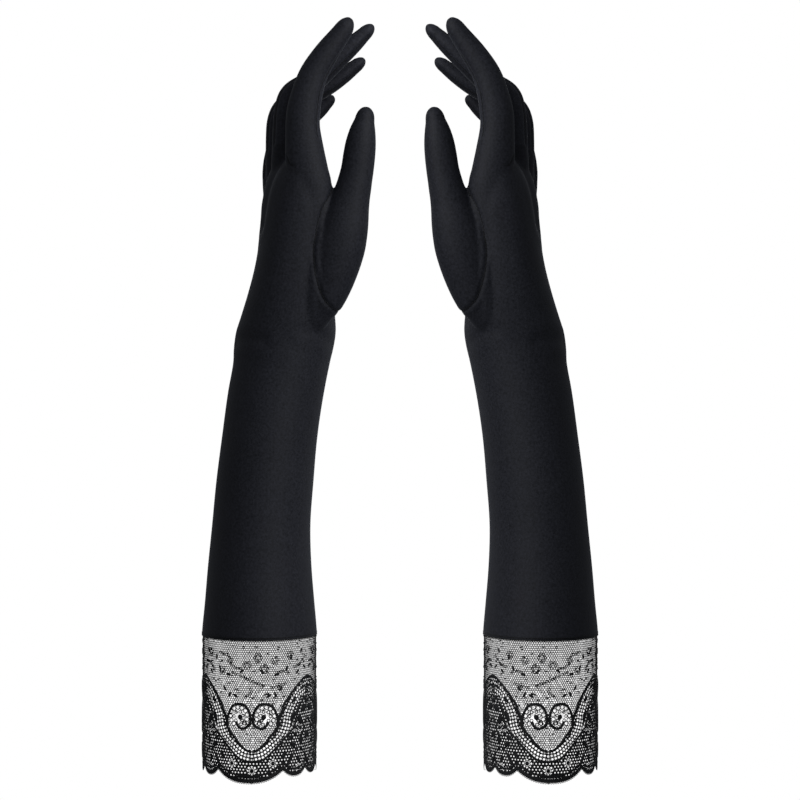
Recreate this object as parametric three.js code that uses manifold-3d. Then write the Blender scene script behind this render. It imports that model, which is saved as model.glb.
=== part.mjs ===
// A pair of long stretch gloves with lace cuffs, standing fingers up, as they sit on two arms.
// Millimetres, +Z up. X = 0 is the plane that mirrors one glove into the other, both palms face it, and
// Z = 0 is the lowest edge of the lace. One glove is built and the other is its mirror image.
//
// Inside one glove's own frame, x points from the back of the hand to the palm, y from the index finger to
// the little finger, and x = y = 0 is the middle of the arm opening.

import * as THREE from "three";
import { mergeVertices } from "three/addons/utils/BufferGeometryUtils.js";
import Module from "manifold-3d";

const wasm = await Module();
wasm.setup();

// ---- Driving dimensions ----

const PAIR_SPACING = 154.5; // between the middles of the two arm openings
const WALL = 1; // fabric and lace, with the stretch knit's own thickness rounded up
const SEAM_GAP = 0.3; // left between two pieces that are sewn together
const JOINT_GAP = 0.4; // left at the line that two pieces bend about
const BEND_MARGIN = 2; // degrees left open past each limit of a bend

const CUFF_HEIGHT = 77; // lace, from the lowest scallop to the sleeve
const SCALLOP_REPEATS = 3; // round the arm: each is one wide scallop and two narrow ones
const WIDE_SCALLOP = 68; // degrees of arm that the wide one takes
const NARROW_SCALLOP = 26; // and each narrow one
const NOTCH_DEPTH = 9.6; // how far the edge rises between two scallops
const SCALLOP_TURN = -99; // degrees from +x to the middle of a wide scallop
const EDGE_FLAT = 0.6; // cut off each scallop, which leaves it a flat to stand on

const TAPE_HEIGHT = 8; // seam allowance inside the top of the lace
const TAPE_WALL = 0.7;
const SIDE_SEAM_WIDTH = 6;

const SLEEVE_LENGTH = 157; // satin, from the lace to the bend at the wrist
const PALM_LENGTH = 104; // from that bend to the web between index and middle finger
const ROOF_DROP = 31; // how much lower the web lies at the little finger
const WRIST_HEIGHT = CUFF_HEIGHT + SLEEVE_LENGTH;
const ROOF_HEIGHT = WRIST_HEIGHT + PALM_LENGTH;

// Cross-sections of sleeve and palm: height, middle in x, half depth in x, half width in y.
const ARM_SECTIONS = [
  [0, 0, 31.4, 38.5],
  [CUFF_HEIGHT, 0, 31.8, 38.5],
  [CUFF_HEIGHT + 0.325 * SLEEVE_LENGTH, 0.6, 27.5, 33.5],
  [CUFF_HEIGHT + 0.64 * SLEEVE_LENGTH, 5, 26.4, 31],
  [CUFF_HEIGHT + 0.85 * SLEEVE_LENGTH, 9.3, 26.4, 30],
  [WRIST_HEIGHT, 13.3, 27.2, 30.5],
  [WRIST_HEIGHT + 0.21 * PALM_LENGTH, 16.5, 24.6, 34],
  [WRIST_HEIGHT + 0.41 * PALM_LENGTH, 18.7, 21.5, 36.5],
  [WRIST_HEIGHT + 0.73 * PALM_LENGTH, 20.6, 19.6, 38.4],
  [ROOF_HEIGHT, 20.2, 17, 38.2],
];

// A finger or thumb is a tube along points in the glove's frame, whose heights are measured from the top of
// the palm for a finger and from the wrist for the thumb, with a half depth and a half width at each point.
// Its bends are set by their heights on its axis, and by how far they open and close.
const FINGERS = [
  {
    name: "index",
    from: ROOF_HEIGHT,
    path: [[24.7, -28.5, -46], [24.7, -28.5, -12], [24.8, -28.5, 15], [28.6, -28.5, 40], [46.7, -28.5, 68.5]],
    depth: [9, 10.8, 10, 9.4, 7.6],
    width: [8.6, 9.2, 9.1, 8.9, 7.8],
    bends: [{ at: 5, open: 20, close: 20 }, { at: 36, open: 28, close: 25 }],
    inner: [1],
  },
  {
    name: "middle",
    from: ROOF_HEIGHT,
    path: [[20.4, -9.3, -45], [19.4, -9.3, -10], [17.4, -9.3, 17], [24.4, -9.3, 41], [58.1, -9.3, 65.6]],
    depth: [9, 10.4, 10, 9.4, 7.6],
    width: [8.6, 9.2, 9.1, 8.9, 7.8],
    bends: [{ at: 5, open: 20, close: 30 }, { at: 35, open: 45, close: 35 }],
    inner: [-1, 1],
  },
  {
    name: "ring",
    from: ROOF_HEIGHT,
    path: [[17.5, 9.7, -48], [15.5, 9.7, -18], [12, 9.7, 9], [19.6, 9.7, 30], [53.8, 9.7, 49.3]],
    depth: [9, 10.2, 9.6, 9.2, 7.4],
    width: [8.6, 9, 8.9, 8.7, 7.6],
    bends: [{ at: -1, open: 20, close: 30 }, { at: 25, open: 50, close: 35 }],
    inner: [-1, 1],
  },
  {
    name: "little",
    from: ROOF_HEIGHT,
    path: [[14.7, 27.4, -52], [12.1, 27.4, -26], [10.1, 27.4, -6], [15.7, 27.4, 12], [37.2, 27.4, 32.4]],
    depth: [8, 9, 8.6, 8.2, 6.8],
    width: [7.6, 8, 7.9, 7.7, 6.8],
    bends: [{ at: -13.5, open: 20, close: 30 }, { at: 8, open: 40, close: 40 }],
    inner: [-1],
  },
];

const THUMB = {
  name: "thumb",
  from: WRIST_HEIGHT,
  path: [
    [27.5, -19, 9],
    [37.7, -23, 29],
    [44.2, -25.5, 52],
    [48.1, -27, 76],
    [55, -28, 103],
    [59.9, -28.5, 122.6],
  ],
  depth: [6, 11.5, 14.4, 12.4, 9.6, 8],
  width: [6, 11, 12.6, 11, 9.4, 8],
  bends: [{ at: 83.6, open: 18, close: 15 }, { at: 104, open: 15, close: 25 }],
};

const WRIST = { open: 35, close: 8 };
const BEND_LINE = 0.6; // the bend line's place, from the middle of the tube towards the back of the hand

const STRIP_WIDTH = 8; // fourchette, across the side of the finger
const STRIP_END_CLEAR = 8; // from a fourchette's end to the bend it stops at
const STRIP_DEPTH = 0.66; // the side walls further out than this share of the half width are the strip's

// How finely each kind of piece is faceted.
const ARM_SIDES = 20;
const CUFF_SIDES = 50;
const FINGER_SIDES = 10;
const RINGS_PER_STEP = 2;
const TIP_STEPS = [42, 78]; // degrees of latitude of the rings that round off a fingertip
const WINDOW_STEPS = 3;
const FACET_TOLERANCE = 0.06; // facets that differ by less are merged
const HALVINGS = 30; // steps of the search for a height on an axis
const REACH = 80; // half the width of a cutting block, more than any section
const LONG_REACH = 260; // and its length, more than any piece
const OVERCUT = 1; // how far a cutter passes the face that it cuts
const WELD = 1e-4; // points closer than this are one

// ---- Closed meshes and solids ----

const radians = THREE.MathUtils.degToRad;

function solidFrom(geometry) {
  geometry.deleteAttribute("normal");
  geometry.deleteAttribute("uv");
  const merged = mergeVertices(geometry, WELD);
  return new wasm.Manifold(new wasm.Mesh({
    numProp: 3,
    vertProperties: merged.attributes.position.array,
    triVerts: new Uint32Array(merged.index.array),
  }));
}

function geometryFrom(solid) {
  const { vertProperties, triVerts } = solid.simplify(FACET_TOLERANCE).getMesh();
  const geometry = new THREE.BufferGeometry();
  geometry.setAttribute("position", new THREE.BufferAttribute(vertProperties, 3));
  geometry.setIndex(new THREE.BufferAttribute(triVerts, 1));
  return geometry;
}

// A closed solid through rings of the same number of points, its two ends filled in by fans.
function loft(rings) {
  const sides = rings[0].length;
  const centre = (ring) => ring.reduce((sum, p) => sum.add(p), new THREE.Vector3()).divideScalar(sides);
  const points = [...rings.flat(), centre(rings[0]), centre(rings.at(-1))];
  const first = points.length - 2;
  const last = first + 1;
  const index = [];
  for (let j = 0; j < sides; j++) {
    const next = (j + 1) % sides;
    const top = (rings.length - 1) * sides;
    for (let i = 0; i < top; i += sides) {
      index.push(i + j, i + next, i + sides + next, i + j, i + sides + next, i + sides + j);
    }
    index.push(first, next, j, last, top + j, top + next);
  }
  const geometry = new THREE.BufferGeometry().setFromPoints(points);
  geometry.setIndex(index);
  return solidFrom(geometry);
}

// An outline in the x-z plane, pushed out to both sides along y.
function slab(outline, low = -REACH, high = REACH) {
  const shape = new THREE.Shape(outline.map(([x, z]) => new THREE.Vector2(x, z)));
  const geometry = new THREE.ExtrudeGeometry(shape, { depth: high - low, bevelEnabled: false });
  geometry.rotateX(Math.PI / 2);
  geometry.translate(0, high, 0);
  return solidFrom(geometry);
}

function union(solids) {
  return solids.reduce((whole, solid) => whole.add(solid));
}

// ---- Sections ----

// The palm and sleeve at a height: middle and half sizes, eased between the listed sections.
function armSection(height) {
  const heights = ARM_SECTIONS.map(([z]) => z);
  const above = Math.max(1, heights.findIndex((z) => z >= height));
  const [low, high] = [ARM_SECTIONS[above - 1], ARM_SECTIONS[above]];
  const share = (height - low[0]) / (high[0] - low[0]);
  return [1, 2, 3].map((k) => THREE.MathUtils.lerp(low[k], high[k], share));
}

function armRing(height, inset, sides, lift = () => 0) {
  const [middle, depth, width] = armSection(height);
  return Array.from({ length: sides }, (_, j) => {
    const angle = (2 * Math.PI * j) / sides;
    const x = middle + (depth - inset) * Math.cos(angle);
    const y = (width - inset) * Math.sin(angle);
    return new THREE.Vector3(x, y, height + lift(angle, y));
  });
}

function sectionHeights(from, to) {
  return ARM_SECTIONS.map(([z]) => z).filter((z) => z > from && z < to);
}

function armSolid(from, to, inset) {
  return loft([from, ...sectionHeights(from, to), to].map((z) => armRing(z, inset, ARM_SIDES)));
}

// The palm ends in a roof that falls away from the middle of the hand towards the little finger.
function palmSolid(inset) {
  const start = WRIST_HEIGHT - WALL;
  const between = sectionHeights(WRIST_HEIGHT, ROOF_HEIGHT);
  const width = ARM_SECTIONS.at(-1)[3];
  const fall = (height) => (_, y) =>
    (-ROOF_DROP * (height - start) * Math.max(0, y)) / ((ROOF_HEIGHT - start) * width);
  return loft([start, ...between, ROOF_HEIGHT - inset].map((z) => armRing(z, inset, ARM_SIDES, fall(z))));
}

// A finger's smooth axis, with its half sizes, at a share (0 to 1) of the axis's length.
function fingerAxis(finger) {
  const points = finger.path.map(([x, y, z]) => new THREE.Vector3(x, y, finger.from + z));
  const curve = new THREE.CatmullRomCurve3(points, false, "centripetal");
  const steps = points.length - 1;
  const sizeAt = (sizes, share) => {
    const place = curve.getUtoTmapping(share) * steps;
    const i = Math.min(steps - 1, Math.floor(place));
    return THREE.MathUtils.lerp(sizes[i], sizes[i + 1], place - i);
  };
  const frameAt = (share) => {
    const along = curve.getTangentAt(share);
    const across = new THREE.Vector3(0, 1, 0).addScaledVector(along, -along.y).normalize();
    return { at: curve.getPointAt(share), along, across, palmward: across.clone().cross(along) };
  };
  return {
    steps,
    length: curve.getLength(),
    frameAt,
    depthAt: (share) => sizeAt(finger.depth, share),
    widthAt: (share) => sizeAt(finger.width, share),
  };
}

// The share of the axis's length at which it reaches a height.
function shareAtHeight(axis, height) {
  let [low, high] = [0, 1];
  for (let i = 0; i < HALVINGS; i++) {
    const share = (low + high) / 2;
    if (axis.frameAt(share).at.z < height) low = share;
    else high = share;
  }
  return low;
}

function fingerSolid(finger, inset) {
  const axis = fingerAxis(finger);
  const ring = (t, share = 1, ahead = 0) => {
    const { at, along, across, palmward } = axis.frameAt(t);
    const [depth, width] = [axis.depthAt(t) - inset, axis.widthAt(t) - inset];
    return Array.from({ length: FINGER_SIDES }, (_, j) => {
      const angle = (2 * Math.PI * j) / FINGER_SIDES;
      return at.clone()
        .addScaledVector(along, ahead * depth)
        .addScaledVector(palmward, share * depth * Math.cos(angle))
        .addScaledVector(across, share * width * Math.sin(angle));
    });
  };
  const count = axis.steps * RINGS_PER_STEP;
  const tube = Array.from({ length: count + 1 }, (_, i) => ring(i / count));
  const tip = TIP_STEPS.map((degrees) => ring(1, Math.cos(radians(degrees)), Math.sin(radians(degrees))));
  return loft([...tube, ...tip]);
}

// ---- Bends ----

// Where a tube bends: a line along y, and the tube's direction there. The line is set towards the back of
// the hand, by the given share of the tube's half depth.
function bendOn(finger, bend, setBack = BEND_LINE) {
  const axis = fingerAxis(finger);
  const share = shareAtHeight(axis, finger.from + bend.at);
  const { at, along, palmward } = axis.frameAt(share);
  const pivot = at.addScaledVector(palmward, -setBack * axis.depthAt(share));
  return { ...bend, share, pivot, along, palmward };
}

function wristBend() {
  const [middle, depth] = armSection(WRIST_HEIGHT);
  const pivot = new THREE.Vector3(middle - BEND_LINE * depth, 0, WRIST_HEIGHT);
  return { ...WRIST, pivot, along: new THREE.Vector3(0, 0, 1), palmward: new THREE.Vector3(1, 0, 0) };
}

// The half of space below (side -1) or above (side 1) a bend, less half of the wedge that it needs to move:
// it closes by `close` towards the palm and opens by `open` towards the back of the hand.
function half({ pivot, along, palmward, open, close }, side) {
  const angleTo = (degrees) => radians((degrees + BEND_MARGIN) / 2);
  const corner = (u, v) => [
    pivot.x + u * palmward.x + v * along.x,
    pivot.z + u * palmward.z + v * along.z,
  ];
  const gap = (side * JOINT_GAP) / 2;
  const edge = (u, degrees) => corner(u, gap + side * REACH * Math.tan(angleTo(degrees)));
  const far = side * LONG_REACH;
  return slab([
    edge(-REACH, open),
    corner(0, gap),
    edge(REACH, close),
    corner(REACH, far),
    corner(-REACH, far),
  ]);
}

// ---- Pieces ----

const satin = new THREE.MeshStandardMaterial({ color: 0x16171d, roughness: 0.62, metalness: 0 });
const satinStrip = new THREE.MeshStandardMaterial({ color: 0x1b1c23, roughness: 0.62, metalness: 0 });
const lace = new THREE.MeshStandardMaterial({ color: 0x0d0d10, roughness: 0.8, metalness: 0 });
const tapeCloth = new THREE.MeshStandardMaterial({ color: 0x101014, roughness: 0.85, metalness: 0 });

// The height of the lower edge at an angle round the arm: arcs side by side, with notches between them.
// The arcs reach below zero, where the cuff is cut off flat.
function scallopRise(angle) {
  const repeat = 360 / SCALLOP_REPEATS;
  const turned = THREE.MathUtils.radToDeg(angle) - SCALLOP_TURN + WIDE_SCALLOP / 2;
  const place = THREE.MathUtils.euclideanModulo(turned, repeat);
  const wide = place < WIDE_SCALLOP;
  const span = wide ? WIDE_SCALLOP : NARROW_SCALLOP;
  const share = wide ? place / span : ((place - WIDE_SCALLOP) % span) / span;
  const bulge = Math.abs(2 * share - 1);
  return NOTCH_DEPTH * bulge ** 3 - EDGE_FLAT;
}

function laceCuff() {
  const shell = (inset) => loft([
    armRing(-NOTCH_DEPTH, inset, CUFF_SIDES),
    armRing(CUFF_HEIGHT, inset, CUFF_SIDES),
  ]);
  const edge = (inset, low, lift) => armRing(low, inset, CUFF_SIDES, lift);
  const below = loft([edge(-WALL, -2 * NOTCH_DEPTH), edge(-WALL, 0, scallopRise)]);
  return shell(0).subtract(shell(WALL)).subtract(below).subtract(flatBelow(0));
}

function flatBelow(height) {
  const drop = height - REACH;
  return slab([[-REACH, drop], [REACH, drop], [REACH, height], [-REACH, height]]);
}

function seamTape() {
  const [low, high] = [CUFF_HEIGHT - TAPE_HEIGHT / 2, CUFF_HEIGHT + TAPE_HEIGHT / 2];
  const outer = WALL + SEAM_GAP;
  return armSolid(low, high, outer).subtract(armSolid(low - OVERCUT, high + OVERCUT, outer + TAPE_WALL));
}

function sleeve(wrist) {
  const [low, high] = [CUFF_HEIGHT + SEAM_GAP, WRIST_HEIGHT + WALL];
  const shell = armSolid(low, high, 0).subtract(armSolid(low - OVERCUT, high + OVERCUT, WALL));
  return shell.intersect(half(wrist, -1));
}

// The sleeve's seam allowance, inside it along the little-finger side.
function sideSeam(wrist) {
  const [low, high] = [CUFF_HEIGHT + TAPE_HEIGHT, WRIST_HEIGHT + WALL];
  const outer = WALL + SEAM_GAP;
  const inside = armSolid(low - OVERCUT, high + OVERCUT, outer + TAPE_WALL);
  const band = armSolid(low, high, outer).subtract(inside);
  const heights = [low - OVERCUT, ...sectionHeights(low, high), high + OVERCUT];
  const line = heights.map((z) => [armSection(z)[0], z]);
  const edge = (offset) => line.map(([x, z]) => [x + offset, z]);
  const strip = slab([...edge(-SIDE_SEAM_WIDTH / 2), ...edge(SIDE_SEAM_WIDTH / 2).reverse()], 0, REACH);
  return band.intersect(strip).intersect(half(wrist, -1));
}

// The window in a finger's side wall that a fourchette fills, from one share of the axis to another.
function stripWindow(finger, axis, side, [from, to], shrink) {
  const [near, far] = [[], []];
  const reach = STRIP_WIDTH / 2 - shrink;
  for (let i = 0; i <= WINDOW_STEPS; i++) {
    const { at, along, palmward } = axis.frameAt(THREE.MathUtils.lerp(from, to, i / WINDOW_STEPS));
    const inward = shrink * (1 - (2 * i) / WINDOW_STEPS);
    at.addScaledVector(along, inward);
    near.push([at.x - reach * palmward.x, at.z - reach * palmward.z]);
    far.push([at.x + reach * palmward.x, at.z + reach * palmward.z]);
  }
  const [middle, width] = [finger.path[0][1], Math.max(...finger.width)];
  const wall = middle + side * (STRIP_DEPTH * width + shrink);
  const beyond = middle + side * (width + WALL);
  return slab([...near, ...far.reverse()], Math.min(wall, beyond), Math.max(wall, beyond));
}

// One finger: two lengths of stall, and a fourchette in each wall that faces another finger.
function fingerPieces(finger) {
  const axis = fingerAxis(finger);
  const [root, middle] = finger.bends.map((bend) => bendOn(finger, bend));
  const shell = fingerSolid(finger, 0).subtract(fingerSolid(finger, WALL));
  const clear = STRIP_END_CLEAR / axis.length;
  const lengths = {
    lower: {
      solid: shell.intersect(half(root, 1)).intersect(half(middle, -1)),
      strip: [root.share + clear, middle.share - clear],
    },
    upper: { solid: shell.intersect(half(middle, 1)), strip: [middle.share + clear, 1 - clear / 2] },
  };
  const pieces = {};
  for (const [length, { solid, strip }] of Object.entries(lengths)) {
    let stall = solid;
    for (const side of finger.inner) {
      const name = `${finger.name}_fourchette_${side < 0 ? "near" : "far"}_${length}`;
      const patch = solid.intersect(stripWindow(finger, axis, side, strip, SEAM_GAP));
      pieces[name] = { solid: patch, material: satinStrip };
      stall = stall.subtract(stripWindow(finger, axis, side, strip, 0));
    }
    pieces[`${finger.name}_stall_${length}`] = { solid: stall, material: satin };
  }
  return pieces;
}

// The palm and the finger roots, open to the sleeve, to each finger and to the thumb.
function hand(wrist) {
  const roots = FINGERS.map((finger) => {
    return fingerSolid(finger, 0).intersect(half(bendOn(finger, finger.bends[0]), -1));
  });
  const hollows = FINGERS.map((finger) => fingerSolid(finger, WALL));
  return union([palmSolid(0), ...roots])
    .subtract(palmSolid(WALL))
    .subtract(union(hollows))
    .subtract(fingerSolid(THUMB, -SEAM_GAP))
    .intersect(half(wrist, 1));
}

// The thumb opens away from the palm, so its bends swap their two limits, and bend about its middle.
function thumbPieces() {
  const turned = ({ open, close, ...bend }) => ({ ...bend, open: close, close: open });
  const [root, tip] = THUMB.bends.map((bend) => turned(bendOn(THUMB, bend, 0)));
  const shell = fingerSolid(THUMB, 0).subtract(fingerSolid(THUMB, WALL));
  return {
    thumb_base: shell.subtract(palmSolid(WALL)).intersect(half(root, -1)),
    thumb_lower: shell.intersect(half(root, 1)).intersect(half(tip, -1)),
    thumb_tip: shell.intersect(half(tip, 1)),
  };
}

// ---- Assembly ----

function glovePieces() {
  const wrist = wristBend();
  const pieces = {
    lace_cuff: { solid: laceCuff(), material: lace },
    cuff_seam_tape: { solid: seamTape(), material: tapeCloth },
    sleeve: { solid: sleeve(wrist), material: satin },
    sleeve_side_seam: { solid: sideSeam(wrist), material: tapeCloth },
    hand: { solid: hand(wrist), material: satin },
  };
  for (const [name, solid] of Object.entries(thumbPieces())) pieces[name] = { solid, material: satin };
  for (const finger of FINGERS) Object.assign(pieces, fingerPieces(finger));
  return pieces;
}

function glove(side, pieces) {
  const group = new THREE.Group();
  for (const [name, { solid, material }] of Object.entries(pieces)) {
    const mesh = new THREE.Mesh(geometryFrom(solid), material);
    mesh.name = `${side}_${name}`;
    group.add(mesh);
  }
  const facing = side === "left" ? 1 : -1;
  group.scale.x = facing;
  group.position.x = (-facing * PAIR_SPACING) / 2;
  return group;
}

const pair = new THREE.Group();
const pieces = glovePieces();
for (const side of ["left", "right"]) pair.add(glove(side, pieces));

export default pair;
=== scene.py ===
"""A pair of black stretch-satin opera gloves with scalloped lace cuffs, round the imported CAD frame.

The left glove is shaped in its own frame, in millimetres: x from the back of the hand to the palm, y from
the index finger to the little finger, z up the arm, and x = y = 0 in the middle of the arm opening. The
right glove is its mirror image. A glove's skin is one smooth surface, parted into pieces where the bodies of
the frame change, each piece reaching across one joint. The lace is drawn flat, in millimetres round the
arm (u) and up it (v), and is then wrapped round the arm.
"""

import math

import bpy
import numpy as np
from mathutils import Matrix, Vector
from mathutils.bvhtree import BVHTree
from mathutils.kdtree import KDTree


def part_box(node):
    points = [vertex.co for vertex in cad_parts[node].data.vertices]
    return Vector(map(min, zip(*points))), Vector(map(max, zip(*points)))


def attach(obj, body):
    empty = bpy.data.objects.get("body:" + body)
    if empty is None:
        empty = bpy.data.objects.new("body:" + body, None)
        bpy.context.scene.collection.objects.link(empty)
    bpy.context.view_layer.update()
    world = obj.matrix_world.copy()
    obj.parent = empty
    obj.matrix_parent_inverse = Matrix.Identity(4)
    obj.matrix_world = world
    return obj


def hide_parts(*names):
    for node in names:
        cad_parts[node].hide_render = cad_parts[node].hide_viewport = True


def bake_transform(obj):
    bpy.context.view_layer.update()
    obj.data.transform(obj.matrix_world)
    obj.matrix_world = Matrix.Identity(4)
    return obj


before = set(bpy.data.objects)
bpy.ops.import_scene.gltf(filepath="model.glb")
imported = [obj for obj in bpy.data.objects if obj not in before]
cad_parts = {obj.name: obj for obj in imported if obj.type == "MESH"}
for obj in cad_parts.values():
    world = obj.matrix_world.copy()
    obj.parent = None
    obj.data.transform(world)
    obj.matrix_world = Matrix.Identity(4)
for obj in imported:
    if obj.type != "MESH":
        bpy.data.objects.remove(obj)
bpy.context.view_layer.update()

# ---- Sizes taken from the frame ----

M = 0.001  # metres in a millimetre
cuff_low, cuff_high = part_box("left_lace_cuff")
OPENING_X = (cuff_low[0] + cuff_high[0]) / 2 / M  # the left arm opening's middle, in the row frame
CUFF_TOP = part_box("left_sleeve")[0][2] / M
SIDES = {"left": 1, "right": -1}


def to_row(points, side):
    """Points of one glove's frame, in millimetres, in the row frame, in metres."""
    points = np.asarray(points, float)
    facing = SIDES[side]
    return np.stack([facing * (points[..., 0] + OPENING_X), points[..., 1], points[..., 2]], -1) * M


# ---- Camera, light and stage ----

CAMERA_DISTANCE = 1.3
CAMERA_HEIGHT = 0.2055
FRAMED_WIDTH = 0.44
SENSOR = 36  # millimetres
BACKDROP_RADIUS = 8
FLOOR_RADIUS = 0.75
FLOOR_DROP = 0.16  # the pair is held up by the arms in it, this far above the floor
# Each glove's lights, for the left one: place, size and power. The key light stands on the thumb's side,
# the rim light behind the thumb and the fill light behind the glove.
LIGHTS = {
    "key": ((0.62, -0.68, 0.78), (0.9, 0.9), 10.5),
    "rim": ((0.55, 0.55, 0.5), (0.25, 0.8), 0.4),
    "fill": ((-0.1, 1.2, 0.4), (0.6, 0.9), 2),
}
LIT_PLACE = (-0.08, 0, 0.25)  # what the left glove's lights point at


def add_camera():
    camera = bpy.data.cameras.new("camera")
    camera.sensor_width = SENSOR
    camera.lens = SENSOR * CAMERA_DISTANCE / FRAMED_WIDTH
    rig = bpy.data.objects.new("camera", camera)
    rig.location = (0, -CAMERA_DISTANCE, CAMERA_HEIGHT)
    rig.rotation_euler = (math.pi / 2, 0, 0)
    bpy.context.scene.collection.objects.link(rig)
    bpy.context.scene.camera = rig


def area_light(name, place, target, size, power):
    light = bpy.data.lights.new(name, "AREA")
    light.shape = "RECTANGLE"
    light.size, light.size_y = size
    light.energy = power
    rig = bpy.data.objects.new(name, light)
    rig.location = place
    rig.rotation_euler = (Vector(target) - Vector(place)).to_track_quat("-Z", "Y").to_euler()
    bpy.context.scene.collection.objects.link(rig)
    return rig


def set_inputs(made, **values):
    """Sets unlinked inputs of a node; an underscore in a name stands for a space."""
    for name, value in values.items():
        made.inputs[name.replace("_", " ")].default_value = value


def stage_material(name, colour, glow):
    """A pale material for the stage, with a glow of its own."""
    material = bpy.data.materials.new(name)
    material.use_nodes = True
    set_inputs(material.node_tree.nodes["Principled BSDF"], Base_Color=(*colour, 1), Roughness=1,
               Specular_IOR_Level=0, Emission_Color=(1, 1, 1, 1), Emission_Strength=glow)
    return material


def hide_from_light(thing):
    """Only the camera sees the thing: it neither lights nor shades the gloves."""
    for ray in ("diffuse", "glossy", "transmission", "shadow"):
        setattr(thing, f"visible_{ray}", False)


def add_stage():
    bpy.ops.mesh.primitive_uv_sphere_add(segments=48, ring_count=24, radius=BACKDROP_RADIUS)
    backdrop = bpy.context.object
    backdrop.name = "backdrop"
    backdrop.data.materials.append(stage_material("backdrop_white", (0, 0, 0), 1.0))
    place = (0, 0, -FLOOR_DROP)
    bpy.ops.mesh.primitive_circle_add(vertices=96, radius=FLOOR_RADIUS, fill_type="NGON", location=place)
    floor = bpy.context.object
    floor.name = "floor"
    floor.data.materials.append(stage_material("floor_white", (0.7, 0.7, 0.7), 0.75))
    for thing in (backdrop, floor):
        hide_from_light(thing)


def add_light():
    """A faint even light from all round, and each glove's own lights: the right one's are mirrored."""
    world = bpy.context.scene.world or bpy.data.worlds.new("world")
    bpy.context.scene.world = world
    world.use_nodes = True
    set_inputs(world.node_tree.nodes["Background"], Color=(0.93, 0.96, 1, 1), Strength=0.2)
    bpy.context.scene.view_settings.view_transform = "Standard"
    made = {}
    for side, facing in SIDES.items():
        turned = np.array([facing, 1, 1])
        made[side] = [
            area_light(f"{side}_{name}", tuple(place * turned), tuple(LIT_PLACE * turned), size, power)
            for name, (place, size, power) in LIGHTS.items()
        ]
    return made


def light_pieces(lights_of, pieces):
    """Each glove has its own lights, so that the pair is lit as one glove and its mirror image."""
    for side, lights in lights_of.items():
        lit = bpy.data.collections.new(f"{side}_lit")
        for piece in pieces[side]:
            lit.objects.link(piece)
        for light in lights:
            light.light_linking.receiver_collection = lit


add_camera()
add_stage()
side_lights = add_light()

# ---- Materials ----


class Look:
    """A new material, with short ways to add and link its nodes."""

    def __init__(self, name):
        self.material = bpy.data.materials.new(name)
        self.material.use_nodes = True
        self.nodes = self.material.node_tree.nodes
        self.link = self.material.node_tree.links.new
        self.shader = self.nodes["Principled BSDF"]

    def add(self, kind, settings=(), **values):
        """A node of a kind, with its settings and the values of its unlinked inputs."""
        made = self.nodes.new("ShaderNode" + kind)
        for name, value in dict(settings).items():
            setattr(made, name, value)
        set_inputs(made, **values)
        return made

    def textures(self, *made):
        """Lays textures out in the piece's own coordinates and gives what they say."""
        place = self.add("TexCoord")
        for texture in made:
            self.link(place.outputs["Object"], texture.inputs["Vector"])
        return [texture.outputs["Fac"] for texture in made]

    def attribute(self, name):
        """What a piece's point attribute says."""
        return self.add("Attribute", {"attribute_name": name}).outputs["Fac"]

    def ramp(self, source, *stops):
        """The colour of a ramp fed by a socket: stops are (place, colour)."""
        made = self.add("ValToRGB")
        for element, (place, colour) in zip(made.color_ramp.elements, stops):
            element.position = place
            element.color = (*colour, 1)
        self.link(source, made.inputs["Fac"])
        return made.outputs["Color"]

    def feed(self, made, values):
        """Sets inputs of a node, or links those whose value is a socket."""
        for name, value in values.items():
            if isinstance(value, bpy.types.NodeSocket):
                self.link(value, made.inputs[name])
            else:
                made.inputs[name].default_value = value

    def mix(self, blend, share, first, second):
        """Two colours mixed, by a share."""
        made = self.add("Mix", {"data_type": "RGBA", "blend_type": blend})
        self.feed(made, {"Factor": share, 6: first, 7: second})
        return made.outputs[2]

    def calculate(self, operation, first, second):
        made = self.add("Math", {"operation": operation})
        self.feed(made, {0: first, 1: second})
        return made.outputs[0]

    def relief(self, source, strength, distance):
        bump = self.add("Bump", Strength=strength, Distance=distance)
        self.link(source, bump.inputs["Height"])
        return bump.outputs["Normal"]

    def finish(self, **values):
        """Sets or links the shader's inputs, and gives the material."""
        self.feed(self.shader, {name.replace("_", " "): value for name, value in values.items()})
        return self.material


def satin_material():
    """Matt stretch satin: a fine knit, a mottled tone, finger strips painted lighter as a painted sheen, and
    a soft bluish sheen.
    """
    satin = Look("satin_knit")
    mottle, cloud, rib, course = satin.textures(
        satin.add("TexNoise", Scale=760.0, Detail=4.0, Roughness=0.75),
        satin.add("TexNoise", Scale=26.0, Detail=3.0, Roughness=0.5),
        satin.add("TexWave", {"bands_direction": "X"}, Scale=420.0, Distortion=1.2),
        satin.add("TexWave", {"bands_direction": "Z"}, Scale=520.0, Distortion=1.6),
    )
    tone = satin.ramp(mottle, (0.3, (0.0075, 0.0083, 0.012)), (0.72, (0.034, 0.036, 0.0475)))
    shade = satin.ramp(cloud, (0.3, (0.86, 0.86, 0.87)), (0.7, (1, 1, 1)))
    # Painted sheen: off the finger strips the tone is painted darker, so the strips read lighter.
    lift = satin.ramp(satin.attribute("strip"), (0.0, (0.72, 0.72, 0.72)), (1.0, (1, 1, 1)))
    grain = satin.calculate("ADD", satin.calculate("MULTIPLY", rib, course), mottle)
    return satin.finish(
        Base_Color=satin.mix("MULTIPLY", 1, satin.mix("MULTIPLY", 1, tone, shade), lift),
        Roughness=satin.ramp(mottle, (0.3, (0.56,) * 3), (0.7, (0.7,) * 3)),
        Normal=satin.relief(grain, 0.35, 0.00012),
        Specular_IOR_Level=0.16,
        Sheen_Weight=0.06, Sheen_Roughness=0.35, Sheen_Tint=(0.7, 0.76, 0.95, 1),
    )


# The arm side of the lace is painted pale and glows, a painted light that stands for the white seen through
# the lace, so that the near side stands out against it.
PAINTED_INNER_WHITE, PAINTED_INNER_GLOW = (0.85, 0.85, 0.85, 1), 0.8


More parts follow.
